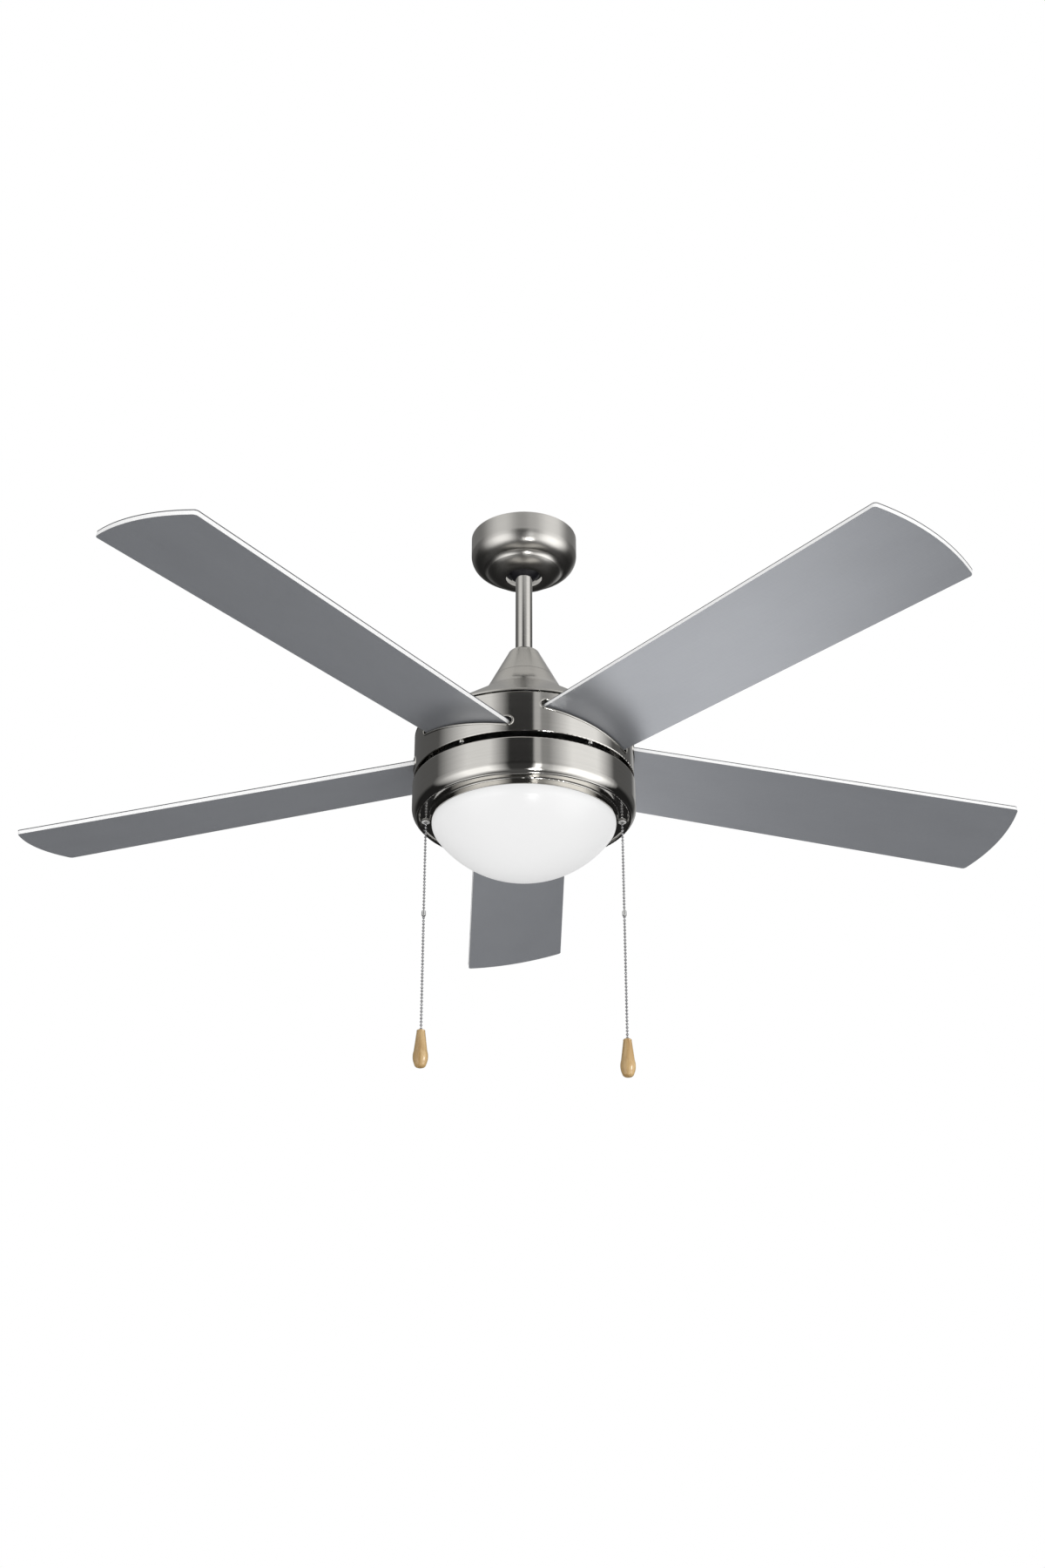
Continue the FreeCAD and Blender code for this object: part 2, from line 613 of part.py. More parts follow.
def chain_eyelet(x):
    """A flanged metal bush in the housing's underside."""
    top = UNDERSIDE_Z - 0.85
    low = top - 1.5
    bush = turned((2.4, low + 0.7), (2.8, low + 0.1, 3.4, low), (4.8, low + 0.3, 5.1, low + 1.2), (5.1, top),
                  (3.35, top), (3.35, UNDERSIDE_Z + 1.5), (2.4, UNDERSIDE_Z + 1.5))
    bush.translate(V(x, CHAIN_Y, 0))
    return bush


CAPACITOR = (50.0, 20.0, 16.0)


def capacitor():
    w, d, h = CAPACITOR
    body = block(0, w, 62, 62 + d, PLATE_Z - 1.2 - h, PLATE_Z - 1.2)
    return body.makeFillet(2.0, [e for e in body.Edges if e.CenterOfMass.z < PLATE_Z - 2])


# --- light ----------------------------------------------------------------------------
def light_pan():
    """White reflector pan with three spring fingers that grip the bowl's neck ring."""
    pan = spun(PAN_WALL, (109.7, -397.5), (109.7, -394.2), (108.2, -387.0), (107.6, -386.2, 106.0, -385.6),
               (92.0, -380.0), (86.0, PAN_Z), (10.0, PAN_Z))
    for az in (0, 120, 240):
        finger = block(105.9, 106.6, -8, 8, -394.0, -386.6)
        finger = finger.fuse(block(105.9, 107.6, -8, 8, -386.9, -386.2))
        pan = pan.fuse(turn(finger, az + 90))
    for hole in around(Part.makeCylinder(2.05, 6, V(PAN_SCREW_R, 0, PAN_Z - 3)), 3):
        pan = pan.cut(hole)
    return pan


LAMP_Z = -403.0
LAMP_Y = -30.0


def lampholder(turned_by):
    """Porcelain holder on a flat foot, mouth towards +X, with the metal screw shell's bore."""
    body = turned((0, -82.0), (15.5, -82.0), (17.5, -80.0), (17.5, -47.0), (16.2, -45.0), (14.0, -45.0),
                  (14.0, -72.0), (0, -72.0))
    body.rotate(ORIGIN, V(0, 1, 0), 90)
    body.translate(V(0, LAMP_Y, LAMP_Z))
    foot = block(-76, -56, LAMP_Y - 7, LAMP_Y + 7, LAMP_Z + 15, PAN_Z - PAN_WALL)
    foot = foot.cut(Part.makeCylinder(16.5, 60, V(-90, LAMP_Y, LAMP_Z), V(1, 0, 0)))
    return turn(body.fuse(foot).removeSplitter(), turned_by)


BULB_R = 24.0


def bulb(turned_by):
    """A15 lamp: glass pear on a threaded cap, one sealed solid."""
    lamp = turned((0, -71.5), (4.5, -71.5), (6.0, -69.0), (9.5, -67.0), (13.2, -66.0), (13.2, -46.0),
                  (12.4, -44.5), (14.0, -38.0), (20.4, -21.0, BULB_R, 0),
                  (BULB_R * math.sqrt(0.5), BULB_R * math.sqrt(0.5), 0, BULB_R))
    lamp.rotate(ORIGIN, V(0, 1, 0), 90)
    lamp.translate(V(0, LAMP_Y, LAMP_Z))
    return turn(lamp, turned_by)


def glass_shade():
    """Opal bowl: a spherical crown, a tight knuckle, and a neck that goes up into the housing."""
    rise = ((GLASS_RIM_R - GLASS_KNUCKLE) ** 2 - (GLASS_DEPTH - GLASS_KNUCKLE) ** 2) / (
        2 * (GLASS_DEPTH - GLASS_KNUCKLE))
    crown = GLASS_DEPTH + rise
    centre_z = GLASS_RIM_Z + rise
    knuckle_r = GLASS_RIM_R - GLASS_KNUCKLE
    lean = math.atan2(knuckle_r, rise)

    def on_crown(radius, angle):
        return (radius * math.sin(angle), centre_z - radius * math.cos(angle))

    def on_knuckle(radius, angle):
        return (knuckle_r + radius * math.sin(angle), GLASS_RIM_Z - radius * math.cos(angle))

    inner_crown = crown - GLASS_WALL
    inner_knuckle = GLASS_KNUCKLE - GLASS_WALL
    middle = (lean + math.pi / 2) / 2
    return turned((0, centre_z - crown), on_crown(crown, lean / 2) + on_crown(crown, lean),
                  on_knuckle(GLASS_KNUCKLE, middle) + on_knuckle(GLASS_KNUCKLE, math.pi / 2),
                  (GLASS_RIM_R, GLASS_RIM_Z + 0.6), (GLASS_NECK_R, GLASS_RIM_Z + 3.0),
                  (GLASS_NECK_R, GLASS_NECK_TOP), (GLASS_NECK_R - GLASS_WALL, GLASS_NECK_TOP),
                  (GLASS_NECK_R - GLASS_WALL, GLASS_RIM_Z + 2.0),
                  on_knuckle(inner_knuckle, math.pi / 2),
                  on_knuckle(inner_knuckle, middle) + on_knuckle(inner_knuckle, lean),
                  on_crown(inner_crown, lean / 2) + (0, centre_z - inner_crown))


def shade_ring():
    """Thin metal ring rolled round the glass neck, gripped by the pan's fingers."""
    low = GLASS_RIM_Z + 3.2
    return ring(GLASS_NECK_R, GLASS_NECK_R + 0.8, low, GLASS_NECK_TOP - 0.2)


# --- chains ---------------------------------------------------------------------------
CONNECTOR_TOP = -506.0
CONNECTOR_H = 7.0


def chain(x, fob_top):
    """The bead chain's envelope, in two lengths with the connector between them."""
    whole = Part.makeCylinder(CHAIN_D / 2, CHAIN_TOP - fob_top, V(x, CHAIN_Y, fob_top))
    gap = Part.makeCylinder(CHAIN_D / 2 + 1, CONNECTOR_H, V(x, CHAIN_Y, CONNECTOR_TOP - CONNECTOR_H))
    return whole.cut(gap)


def chain_connector(x):
    """The bell-shaped clip that joins the switch's chain to the longer one."""
    low = CONNECTOR_TOP - CONNECTOR_H
    bell = turned((0, low), (1.7, low), (2.5, low + 1.2), (2.5, low + 5.8), (1.7, CONNECTOR_TOP),
                  (0, CONNECTOR_TOP))
    bell.translate(V(x, CHAIN_Y, 0))
    return bell


def chain_fob(x, top):
    """Turned wooden drop, fullest in its lower third."""
    low = top - FOB_LENGTH
    fob = turned((0, top), (3.4, top), (4.3, top - 0.4, 4.6, top - 1.5), (6.1, top - 14.0, 7.7, top - 25.3),
                 (FOB_R, top - 33.7, 6.7, top - 40.7), (4.5, top - 43.7, 2.1, low), (0, low))
    fob.translate(V(x, CHAIN_Y, 0))
    return fob


# --- everything -----------------------------------------------------------------------
keep("hanger_bracket", hanger_bracket())
keep("canopy", canopy())
keep("canopy_screws", canopy_screws())

keep("hanger_ball", hanger_ball())
keep("ball_cross_pin", ball_cross_pin())
keep("downrod", downrod())
keep("supply_leads", supply_leads())
keep("yoke", yoke())
keep("yoke_set_screws", yoke_set_screws())
keep("clevis_pin", clevis_pin())
keep("cotter_pin", cotter_pin())
keep("coupling_cover", coupling_cover())
keep("motor_top_cover", motor_top_cover())
keep("motor_shaft", motor_shaft())
keep("stator_core", stator_core())
keep("stator_windings", stator_windings())
keep("bearing_inner_races", bearing_inner_races())
keep("switch_plate", switch_plate())
keep("shaft_nut", shaft_nut())
keep("lower_housing", lower_housing())
keep("housing_screws", housing_screws())
keep("capacitor", capacitor())
keep("light_pan", light_pan())
for number, angle in ((1, 0), (2, 180)):
    keep(f"lampholder_{number}", lampholder(angle))
    keep(f"bulb_{number}", bulb(angle))

keep("rotor_shell_upper", rotor_shell_upper())
keep("rotor_shell_lower", rotor_shell_lower())
keep("rotor_ring", rotor_ring())
keep("rotor_screws", rotor_screws())
keep("bearing_outer_races", bearing_outer_races())
keep("bearing_balls", bearing_balls())
keep("motor_band", motor_band())
for index in range(BLADE_COUNT):
    keep(f"blade_iron_{index + 1}", blade_iron(index))
    keep(f"blade_{index + 1}", blade(index))
keep("blade_screws", blade_screws())
keep("iron_screws", iron_screws())

keep("glass_shade", glass_shade())
keep("shade_ring", shade_ring())

for name, x, fob_top in CHAINS:
    keep(f"{name}_switch", pull_switch(x))
    keep(f"{name}_chain_eyelet", chain_eyelet(x))
    keep(f"{name}_pull_link", pull_link(x))
    keep(f"{name}_chain", chain(x, fob_top))
    keep(f"{name}_chain_connector", chain_connector(x))
    keep(f"{name}_chain_fob", chain_fob(x, fob_top))

os.makedirs("parts", exist_ok=True)
for name, shape in PARTS.items():
    solids = shape.Solids
    broken = [i for i, s in enumerate(solids) if not s.isValid() or s.Volume <= 0]
    if broken or not solids:
        raise SystemExit(f"{name}: {len(solids)} solids, not valid: {broken}")
    shape.exportStep(f"parts/{name}.step")
    box = shape.optimalBoundingBox()
    print(f"{name:24s} {len(solids):3d} solids {shape.Volume / 1000:8.2f} cm3"
          f"  z {box.ZMin:7.1f} {box.ZMax:7.1f}  x {box.XMin:7.1f} {box.XMax:7.1f}")
print(len(PARTS), "nodes")
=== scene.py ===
import json
import math
import bmesh
import bpy
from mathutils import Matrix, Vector


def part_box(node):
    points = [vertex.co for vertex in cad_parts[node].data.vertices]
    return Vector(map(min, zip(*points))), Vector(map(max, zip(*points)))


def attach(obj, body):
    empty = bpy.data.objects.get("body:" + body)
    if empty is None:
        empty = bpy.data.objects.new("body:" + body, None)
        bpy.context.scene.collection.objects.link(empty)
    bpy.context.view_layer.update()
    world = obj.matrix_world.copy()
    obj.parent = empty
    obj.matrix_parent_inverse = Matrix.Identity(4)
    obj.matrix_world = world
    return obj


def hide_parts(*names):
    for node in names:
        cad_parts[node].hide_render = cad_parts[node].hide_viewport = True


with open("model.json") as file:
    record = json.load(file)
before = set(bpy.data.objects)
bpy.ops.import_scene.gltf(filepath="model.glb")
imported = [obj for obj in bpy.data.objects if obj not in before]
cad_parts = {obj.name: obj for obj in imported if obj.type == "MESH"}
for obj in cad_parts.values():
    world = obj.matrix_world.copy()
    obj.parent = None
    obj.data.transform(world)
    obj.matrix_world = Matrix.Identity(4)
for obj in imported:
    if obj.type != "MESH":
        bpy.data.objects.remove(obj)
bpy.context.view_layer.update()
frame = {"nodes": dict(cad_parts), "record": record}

NODES = frame["nodes"]
MM = 0.001
SCENE = bpy.context.scene


# --- places, all from the frame -------------------------------------------------------
def low(node):
    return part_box(node)[0]


def high(node):
    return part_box(node)[1]


def radius_of(node):
    return (high(node).x - low(node).x) / 2


def middle(node):
    return (high(node) + low(node)) / 2


# --- camera ---------------------------------------------------------------------------
CAMERA_ASIDE = -0.0018
CAMERA_BACK = 2.141
CAMERA_BELOW_BLADES = 1.0668
CAMERA_PITCH = 25.86
CAMERA_LENS = 45.5
BLADE_LEVEL = -0.317


def make_camera():
    data = bpy.data.cameras.new("camera")
    data.lens = CAMERA_LENS
    data.sensor_width = 36.0
    data.clip_start, data.clip_end = 0.05, 60.0
    camera = bpy.data.objects.new("camera", data)
    camera.location = (CAMERA_ASIDE, -CAMERA_BACK, BLADE_LEVEL - CAMERA_BELOW_BLADES)
    camera.rotation_euler = (math.radians(90 + CAMERA_PITCH), 0, 0)
    SCENE.collection.objects.link(camera)
    SCENE.camera = camera


# --- material tools -------------------------------------------------------------------
class Nodes:
    """Short names for building one node tree."""

    def __init__(self, tree):
        self.tree = tree

    def add(self, kind, **settings):
        node = self.tree.nodes.new(kind)
        for key, value in settings.items():
            if isinstance(value, (int, float, tuple)) and key in node.inputs:
                node.inputs[key].default_value = value
            else:
                setattr(node, key, value)
        return node

    def link(self, out, into):
        self.tree.links.new(out, into)
        return into.node

    def math(self, operation, a, b=None, c=None, clamp=False):
        node = self.add("ShaderNodeMath", operation=operation, use_clamp=clamp)
        for socket, value in zip(node.inputs, (a, b, c)):
            if value is None:
                continue
            if isinstance(value, (int, float)):
                socket.default_value = value
            else:
                self.link(value, socket)
        return node.outputs[0]

    def ramp(self, value, stops):
        node = self.add("ShaderNodeValToRGB")
        elements = node.color_ramp.elements
        while len(elements) > 1:
            elements.remove(elements[-1])
        elements[0].position, first = stops[0][0], stops[0][1]
        elements[0].color = rgba(first)
        for position, colour in stops[1:]:
            elements.new(position).color = rgba(colour)
        self.link(value, node.inputs[0])
        return node.outputs[0]

    def mix(self, factor, a, b, blend="MIX"):
        node = self.add("ShaderNodeMix", data_type="RGBA", blend_type=blend)
        for name, value in (("Factor", factor), ("A", a), ("B", b)):
            socket = [s for s in node.inputs if s.name == name and s.enabled][0]
            if isinstance(value, (int, float)) and name == "Factor":
                socket.default_value = value
            elif isinstance(value, (tuple, float, int)):
                socket.default_value = rgba(value)
            else:
                self.link(value, socket)
        return [s for s in node.outputs if s.enabled][0]


def rgba(colour):
    if isinstance(colour, (int, float)):
        return (colour, colour, colour, 1.0)
    return tuple(colour) + (1.0,) * (4 - len(colour))


def material(name, colour, metallic=0.0, roughness=0.5, **sockets):
    made = bpy.data.materials.new(name)
    made.use_nodes = True
    made.diffuse_color = rgba(colour)
    shader = made.node_tree.nodes["Principled BSDF"]
    shader.inputs["Base Color"].default_value = rgba(colour)
    shader.inputs["Metallic"].default_value = metallic
    shader.inputs["Roughness"].default_value = roughness
    for key, value in sockets.items():
        shader.inputs[key.replace("_", " ")].default_value = value
    return made, Nodes(made.node_tree), shader


def give(obj, made):
    obj.data.materials.clear()
    obj.data.materials.append(made)


def bump(nodes, shader, height, strength, distance):
    node = nodes.add("ShaderNodeBump")
    node.inputs["Strength"].default_value = strength
    node.inputs["Distance"].default_value = distance
    nodes.link(height, node.inputs["Height"])
    nodes.link(node.outputs[0], shader.inputs["Normal"])


def object_point(nodes):
    return nodes.add("ShaderNodeTexCoord").outputs["Object"]


def split(nodes, vector):
    return nodes.link(vector, nodes.add("ShaderNodeSeparateXYZ").inputs[0]).outputs


def joined(nodes, x, y, z):
    node = nodes.add("ShaderNodeCombineXYZ")
    for socket, value in zip(node.inputs, (x, y, z)):
        if isinstance(value, (int, float)):
            socket.default_value = value
        else:
            nodes.link(value, socket)
    return node.outputs[0]


def noise(nodes, vector, scale, detail=2.0, roughness=0.5):
    node = nodes.add("ShaderNodeTexNoise")
    node.inputs["Scale"].default_value = scale
    node.inputs["Detail"].default_value = detail
    node.inputs["Roughness"].default_value = roughness
    nodes.link(vector, node.inputs["Vector"])
    return node.outputs["Fac"]


# --- materials ------------------------------------------------------------------------
NICKEL = (0.60, 0.585, 0.555)


def brushed_turned(name, colour=NICKEL, roughness=0.09, anisotropy=0.6, grain=1.0):
    """Metal brushed round the fan's axis: the grain is fine up the wall and long round it."""
    made, nodes, shader = material(name, colour, 1.0, roughness, Anisotropic=anisotropy,
                                   Anisotropic_Rotation=0.25)
    x, y, z = split(nodes, object_point(nodes))
    angle = nodes.math("ARCTAN2", y, x)
    squares = nodes.math("ADD", nodes.math("MULTIPLY", x, x), nodes.math("MULTIPLY", y, y))
    radius = nodes.math("SQRT", squares)
    along = nodes.math("ADD", nodes.math("MULTIPLY", radius, 0.8), z)
    across, ahead = nodes.math("COSINE", angle), nodes.math("SINE", angle)
    lines = noise(nodes, joined(nodes, across, ahead, nodes.math("MULTIPLY", along, 1500.0)), 1.5, 3.0, 0.6)
    bands = noise(nodes, joined(nodes, across, ahead, nodes.math("MULTIPLY", along, 220.0)), 1.2, 2.0)
    shade = nodes.math("MULTIPLY_ADD", nodes.math("SUBTRACT", lines, 0.5), 0.16 * grain, 1.0)
    shade = nodes.math("MULTIPLY_ADD", nodes.math("SUBTRACT", bands, 0.5), 0.07, shade)
    tint = nodes.mix(1.0, colour, joined(nodes, shade, shade, shade), "MULTIPLY")
    nodes.link(tint, shader.inputs["Base Color"])
    rough = nodes.math("MULTIPLY_ADD", nodes.math("SUBTRACT", lines, 0.5), 0.06, roughness, clamp=True)
    nodes.link(rough, shader.inputs["Roughness"])
    bump(nodes, shader, lines, 0.006 * grain, 0.0002)
    tangent = nodes.add("ShaderNodeTangent", direction_type="RADIAL", axis="Z")
    nodes.link(tangent.outputs[0], shader.inputs["Tangent"])
    return made


def plain_metal(name, colour, roughness, cloud=0.12, scale=140.0):
    made, nodes, shader = material(name, colour, 1.0, roughness)
    patches = noise(nodes, object_point(nodes), scale, 4.0)
    shade = nodes.math("MULTIPLY_ADD", nodes.math("SUBTRACT", patches, 0.5), cloud * 2, 1.0)
    nodes.link(nodes.mix(1.0, colour, joined(nodes, shade, shade, shade), "MULTIPLY"),
               shader.inputs["Base Color"])
    rough = nodes.math("MULTIPLY_ADD", nodes.math("SUBTRACT", patches, 0.5), 0.25, roughness, clamp=True)
    nodes.link(rough, shader.inputs["Roughness"])
    bump(nodes, shader, patches, 0.04, 0.0003)
    return made


def moulded(name, colour, roughness=0.45, scale=500.0):
    made, nodes, shader = material(name, colour, 0.0, roughness)
    grain = noise(nodes, object_point(nodes), scale, 3.0)
    shade = nodes.math("MULTIPLY_ADD", nodes.math("SUBTRACT", grain, 0.5), 0.10, 1.0)
    nodes.link(nodes.mix(1.0, colour, joined(nodes, shade, shade, shade), "MULTIPLY"),
               shader.inputs["Base Color"])
    bump(nodes, shader, grain, 0.06, 0.0002)
    return made


def silver_film(name, azimuth):
    """Matt silver film on the blades, with a faint woven grain along and across the blade."""
    colour = (0.255, 0.264, 0.284)
    made, nodes, shader = material(name, colour, 0.35, 0.38)
    turn = nodes.add("ShaderNodeVectorRotate", rotation_type="Z_AXIS")
    turn.inputs["Angle"].default_value = -azimuth
    nodes.link(object_point(nodes), turn.inputs["Vector"])
    x, y, z = split(nodes, turn.outputs[0])
    cross = noise(nodes, joined(nodes, nodes.math("MULTIPLY", x, 1400.0),
                                nodes.math("MULTIPLY", y, 90.0), 0.0), 1.0, 3.0, 0.6)
    lengthwise = noise(nodes, joined(nodes, nodes.math("MULTIPLY", x, 24.0),
                                     nodes.math("MULTIPLY", y, 900.0), 3.0), 1.0, 3.0, 0.6)
    grain = nodes.math("ADD", nodes.math("MULTIPLY", cross, 0.55), nodes.math("MULTIPLY", lengthwise, 0.45))
    cloud = noise(nodes, joined(nodes, nodes.math("MULTIPLY", x, 9.0), nodes.math("MULTIPLY", y, 22.0), 7.0),
                  1.0, 2.0)
    shade = nodes.math("MULTIPLY_ADD", nodes.math("SUBTRACT", grain, 0.5), 0.28, 1.0)
    shade = nodes.math("MULTIPLY_ADD", nodes.math("SUBTRACT", cloud, 0.5), 0.10, shade)
    nodes.link(nodes.mix(1.0, colour, joined(nodes, shade, shade, shade), "MULTIPLY"),
               shader.inputs["Base Color"])
    rough = nodes.math("MULTIPLY_ADD", nodes.math("SUBTRACT", grain, 0.5), 0.16, 0.38, clamp=True)
    nodes.link(rough, shader.inputs["Roughness"])
    bump(nodes, shader, grain, 0.08, 0.0002)
    return made


def edge_band_and_reflection():
    # painted reflection: the band is near-white partly as its own colour and partly to stand for the bright
    # room that the silver edge reflects
    made, nodes, shader = material("edge_band_and_reflection", (0.93, 0.93, 0.94), 0.0, 0.35)
    streak = noise(nodes, object_point(nodes), 220.0, 3.0)
    shade = nodes.math("MULTIPLY_ADD", nodes.math("SUBTRACT", streak, 0.5), 0.08, 0.94)
    nodes.link(joined(nodes, shade, shade, shade), shader.inputs["Base Color"])
    bump(nodes, shader, streak, 0.03, 0.0002)
    return made


def opal_glass():
    """Cased opal glass: milky body, satin skin, and a painted glow: the shade emits light of its own
    although the lamps inside it are not lit.
    """
    # painted glow: the emission stands in for light and makes the shade evenly white
    made, nodes, shader = material("opal", (0.36, 0.36, 0.36), 0.0, 0.28,
                                   Coat_Weight=0.15, Coat_Roughness=0.15,
                                   Emission_Color=(1.0, 1.0, 1.0, 1.0), Emission_Strength=0.52)
    point = object_point(nodes)
    cloud = noise(nodes, point, 18.0, 3.0)
    shade = nodes.math("MULTIPLY_ADD", nodes.math("SUBTRACT", cloud, 0.5), 0.03, 0.36)
    nodes.link(joined(nodes, shade, shade, shade), shader.inputs["Base Color"])
    bump(nodes, shader, noise(nodes, point, 900.0, 2.0), 0.02, 0.0002)
    return made


def maple():
    """Pale turned wood under varnish: streaks run along the drop."""
    colour = (0.66, 0.42, 0.19)
    made, nodes, shader = material("maple", colour, 0.0, 0.32, Coat_Weight=0.5, Coat_Roughness=0.12)
    x, y, z = split(nodes, object_point(nodes))
    grain_at = joined(nodes, nodes.math("MULTIPLY", x, 420.0), nodes.math("MULTIPLY", y, 420.0),
                      nodes.math("MULTIPLY", z, 26.0))
    streaks = noise(nodes, grain_at, 1.0, 4.0, 0.6)
    rings = noise(nodes, joined(nodes, nodes.math("MULTIPLY", x, 150.0), nodes.math("MULTIPLY", y, 150.0),
                                nodes.math("MULTIPLY", z, 14.0)), 1.0, 2.0)
    tone = nodes.math("ADD", nodes.math("MULTIPLY", streaks, 0.55), nodes.math("MULTIPLY", rings, 0.45))
    wood = nodes.ramp(tone, ((0.30, (0.31, 0.178, 0.064)), (0.46, (0.43, 0.275, 0.112)),
                             (0.58, (0.51, 0.350, 0.160)), (0.72, (0.56, 0.405, 0.215))))
    nodes.link(wood, shader.inputs["Base Color"])
    bump(nodes, shader, streaks, 0.10, 0.0003)
    return made


def winding():
    made, nodes, shader = material("enamelled_copper", (0.62, 0.26, 0.11), 0.9, 0.3)
    x, y, z = split(nodes, object_point(nodes))
    wave = nodes.add("ShaderNodeTexWave", wave_type="BANDS", bands_direction="DIAGONAL")
    wave.inputs["Scale"].default_value = 700.0
    nodes.link(joined(nodes, x, y, z), wave.inputs["Vector"])
    nodes.link(nodes.ramp(wave.outputs["Fac"], ((0.0, (0.30, 0.11, 0.05)), (1.0, (0.70, 0.31, 0.14)))),
               shader.inputs["Base Color"])
    bump(nodes, shader, wave.outputs["Fac"], 0.4, 0.0004)
    return made


MATERIALS = {
    "brushed_nickel": brushed_turned("nickel"),
    "cone_nickel": brushed_turned("cone_nickel", roughness=0.24, anisotropy=0.4, grain=0.7),
    "canopy_nickel": brushed_turned("canopy_nickel", roughness=0.30, anisotropy=0.2, grain=0.4),
    "zinc_steel": plain_metal("zinc", (0.55, 0.56, 0.57), 0.38),
    "screw_steel": plain_metal("bright_screw", (0.66, 0.66, 0.65), 0.25, 0.05, 400.0),
    "black_nylon": moulded("black_nylon", (0.012, 0.012, 0.016), 0.38),
    "lead_jacket": moulded("lead_jacket", (0.03, 0.03, 0.03), 0.5),
    "laminations": plain_metal("laminations", (0.20, 0.21, 0.23), 0.5),
    "copper": winding(),
    "bearing_steel": plain_metal("bearing_steel", (0.52, 0.53, 0.55), 0.15, 0.04),
    "motor_aluminium": plain_metal("cast_aluminium", (0.52, 0.53, 0.54), 0.48, 0.10, 260.0),
    "switch_plastic": moulded("switch_case", (0.70, 0.68, 0.62)),
    "capacitor_case": moulded("capacitor_case", (0.02, 0.02, 0.024), 0.3),
    "white_enamel": moulded("white_enamel", (0.84, 0.84, 0.82), 0.3, 200.0),
    "porcelain": moulded("porcelain", (0.82, 0.81, 0.77), 0.18, 150.0),
    "lamp_glass": moulded("lamp_glass", (0.88, 0.88, 0.86), 0.25, 300.0),
    "opal_glass": opal_glass(),
    "maple": maple(),
    "edge_band_and_reflection": edge_band_and_reflection(),
    # dark line along the blades' top edges: partly the film's edge, partly painted shade
    "film_edge_and_shade": moulded("film_edge_and_shade", (0.10, 0.103, 0.11), 0.4, 400.0),
    "bead_chain": plain_metal("chain_nickel", (0.40, 0.40, 0.41), 0.16, 0.05, 900.0),
    "eyelet": moulded("eyelet", (0.62, 0.62, 0.61), 0.3, 900.0),
}


OWN_LOOK = {"canopy": "canopy_nickel", "coupling_cover": "cone_nickel", "motor_top_cover": "cone_nickel",
            "fan_chain_eyelet": "eyelet", "light_chain_eyelet": "eyelet"}
UNREFLECTED = ("canopy", "downrod")     # the polished cone would only show them as dark smears


def smooth_cad():
    """CAD nodes keep their meshes: only shading and materials change."""
    slots = {s["node"]: s["material_slot"] for s in frame["record"]["subparts"]}
    for name, obj in NODES.items():
        made = MATERIALS.get(OWN_LOOK.get(name, slots[name]))
        if made is not None:
            give(obj, made)
    for name in UNREFLECTED:
        NODES[name].visible_glossy = False


# --- mesh tools -----------------------------------------------------------------------
def new_object(name, mesh):
    obj = bpy.data.objects.new(name, mesh)
    SCENE.collection.objects.link(obj)
    return obj


def from_bmesh(name, work, smooth=True):
    mesh = bpy.data.meshes.new(name)
    work.normal_update()
    work.to_mesh(mesh)
    work.free()
    for face in mesh.polygons:
        face.use_smooth = smooth
    return new_object(name, mesh)


def lathe(work, outline, steps, at=(0.0, 0.0)):
    """Turns an outline of (radius, z) points round a vertical axis through at."""
    rings = []
    for radius, z in outline:
        if radius < 1e-7:
            rings.append([work.verts.new((at[0], at[1], z))])
            continue
        rings.append([work.verts.new((at[0] + radius * math.cos(2 * math.pi * i / steps),
                                      at[1] + radius * math.sin(2 * math.pi * i / steps), z))
                      for i in range(steps)])
    for a, b in zip(rings, rings[1:]):
        for i in range(steps):
            j = (i + 1) % steps
            corners = [a[i % len(a)], a[j % len(a)], b[j % len(b)], b[i % len(b)]]
            unique = list(dict.fromkeys(corners))
            if len(unique) > 2:
                work.faces.new(unique)


def arc(start, via, end, steps):
    """Points on the circle through three points, the first left out."""
    (ax, ay), (bx, by), (cx, cy) = start, via, end
    d = 2 * (ax * (by - cy) + bx * (cy - ay) + cx * (ay - by))
    a, b, c = ax * ax + ay * ay, bx * bx + by * by, cx * cx + cy * cy
    ux = (a * (by - cy) + b * (cy - ay) + c * (ay - by)) / d
    uy = (a * (cx - bx) + b * (ax - cx) + c * (bx - ax)) / d
    radius = math.hypot(ax - ux, ay - uy)
    first = math.atan2(ay - uy, ax - ux)
    mid = (math.atan2(by - uy, bx - ux) - first) % (2 * math.pi)
    last = (math.atan2(cy - uy, cx - ux) - first) % (2 * math.pi)
    if mid > last:
        last -= 2 * math.pi
    angles = [first + last * i / steps for i in range(1, steps + 1)]
    return [(ux + radius * math.cos(angle), uy + radius * math.sin(angle)) for angle in angles]


def outline(start, *moves, steps=12):
    """Like the CAD's outlines: a move of 2 numbers is a line's end, of 4 an arc's middle and end."""
    points = [start]
    for move in moves:
        if len(move) == 2:
            points.append(move)
        else:
            points += arc(points[-1], move[:2], move[2:], steps)
    return points


# --- pull chains ----------------------------------------------------------------------
BEAD_RADIUS = 1.6 * MM
BEAD_PITCH = 4.06 * MM
LINK_RADIUS = 0.5 * MM
CHAIN_SIDES = 14


def route_points(points):
    """Points read from the route's own NURBS spline."""
    curve = bpy.data.curves.new("route", "CURVE")
    curve.dimensions = "3D"
    spline = curve.splines.new("NURBS")
    spline.points.add(len(points) - 1)
    for point, place in zip(spline.points, points):
        point.co = (*place, 1.0)
    spline.order_u = 3
    spline.use_endpoint_u = True
    spline.resolution_u = 24
    holder = new_object("route", curve)
    mesh = bpy.data.meshes.new_from_object(holder)
    places = [v.co.copy() for v in mesh.vertices]
    bpy.data.objects.remove(holder)
    bpy.data.meshes.remove(mesh)
    return places


def along(path, distance):
    for a, b in zip(path, path[1:]):
        run = (b - a).length
        if distance <= run:
            return a.lerp(b, distance / run)
        distance -= run
    return path[-1].copy()


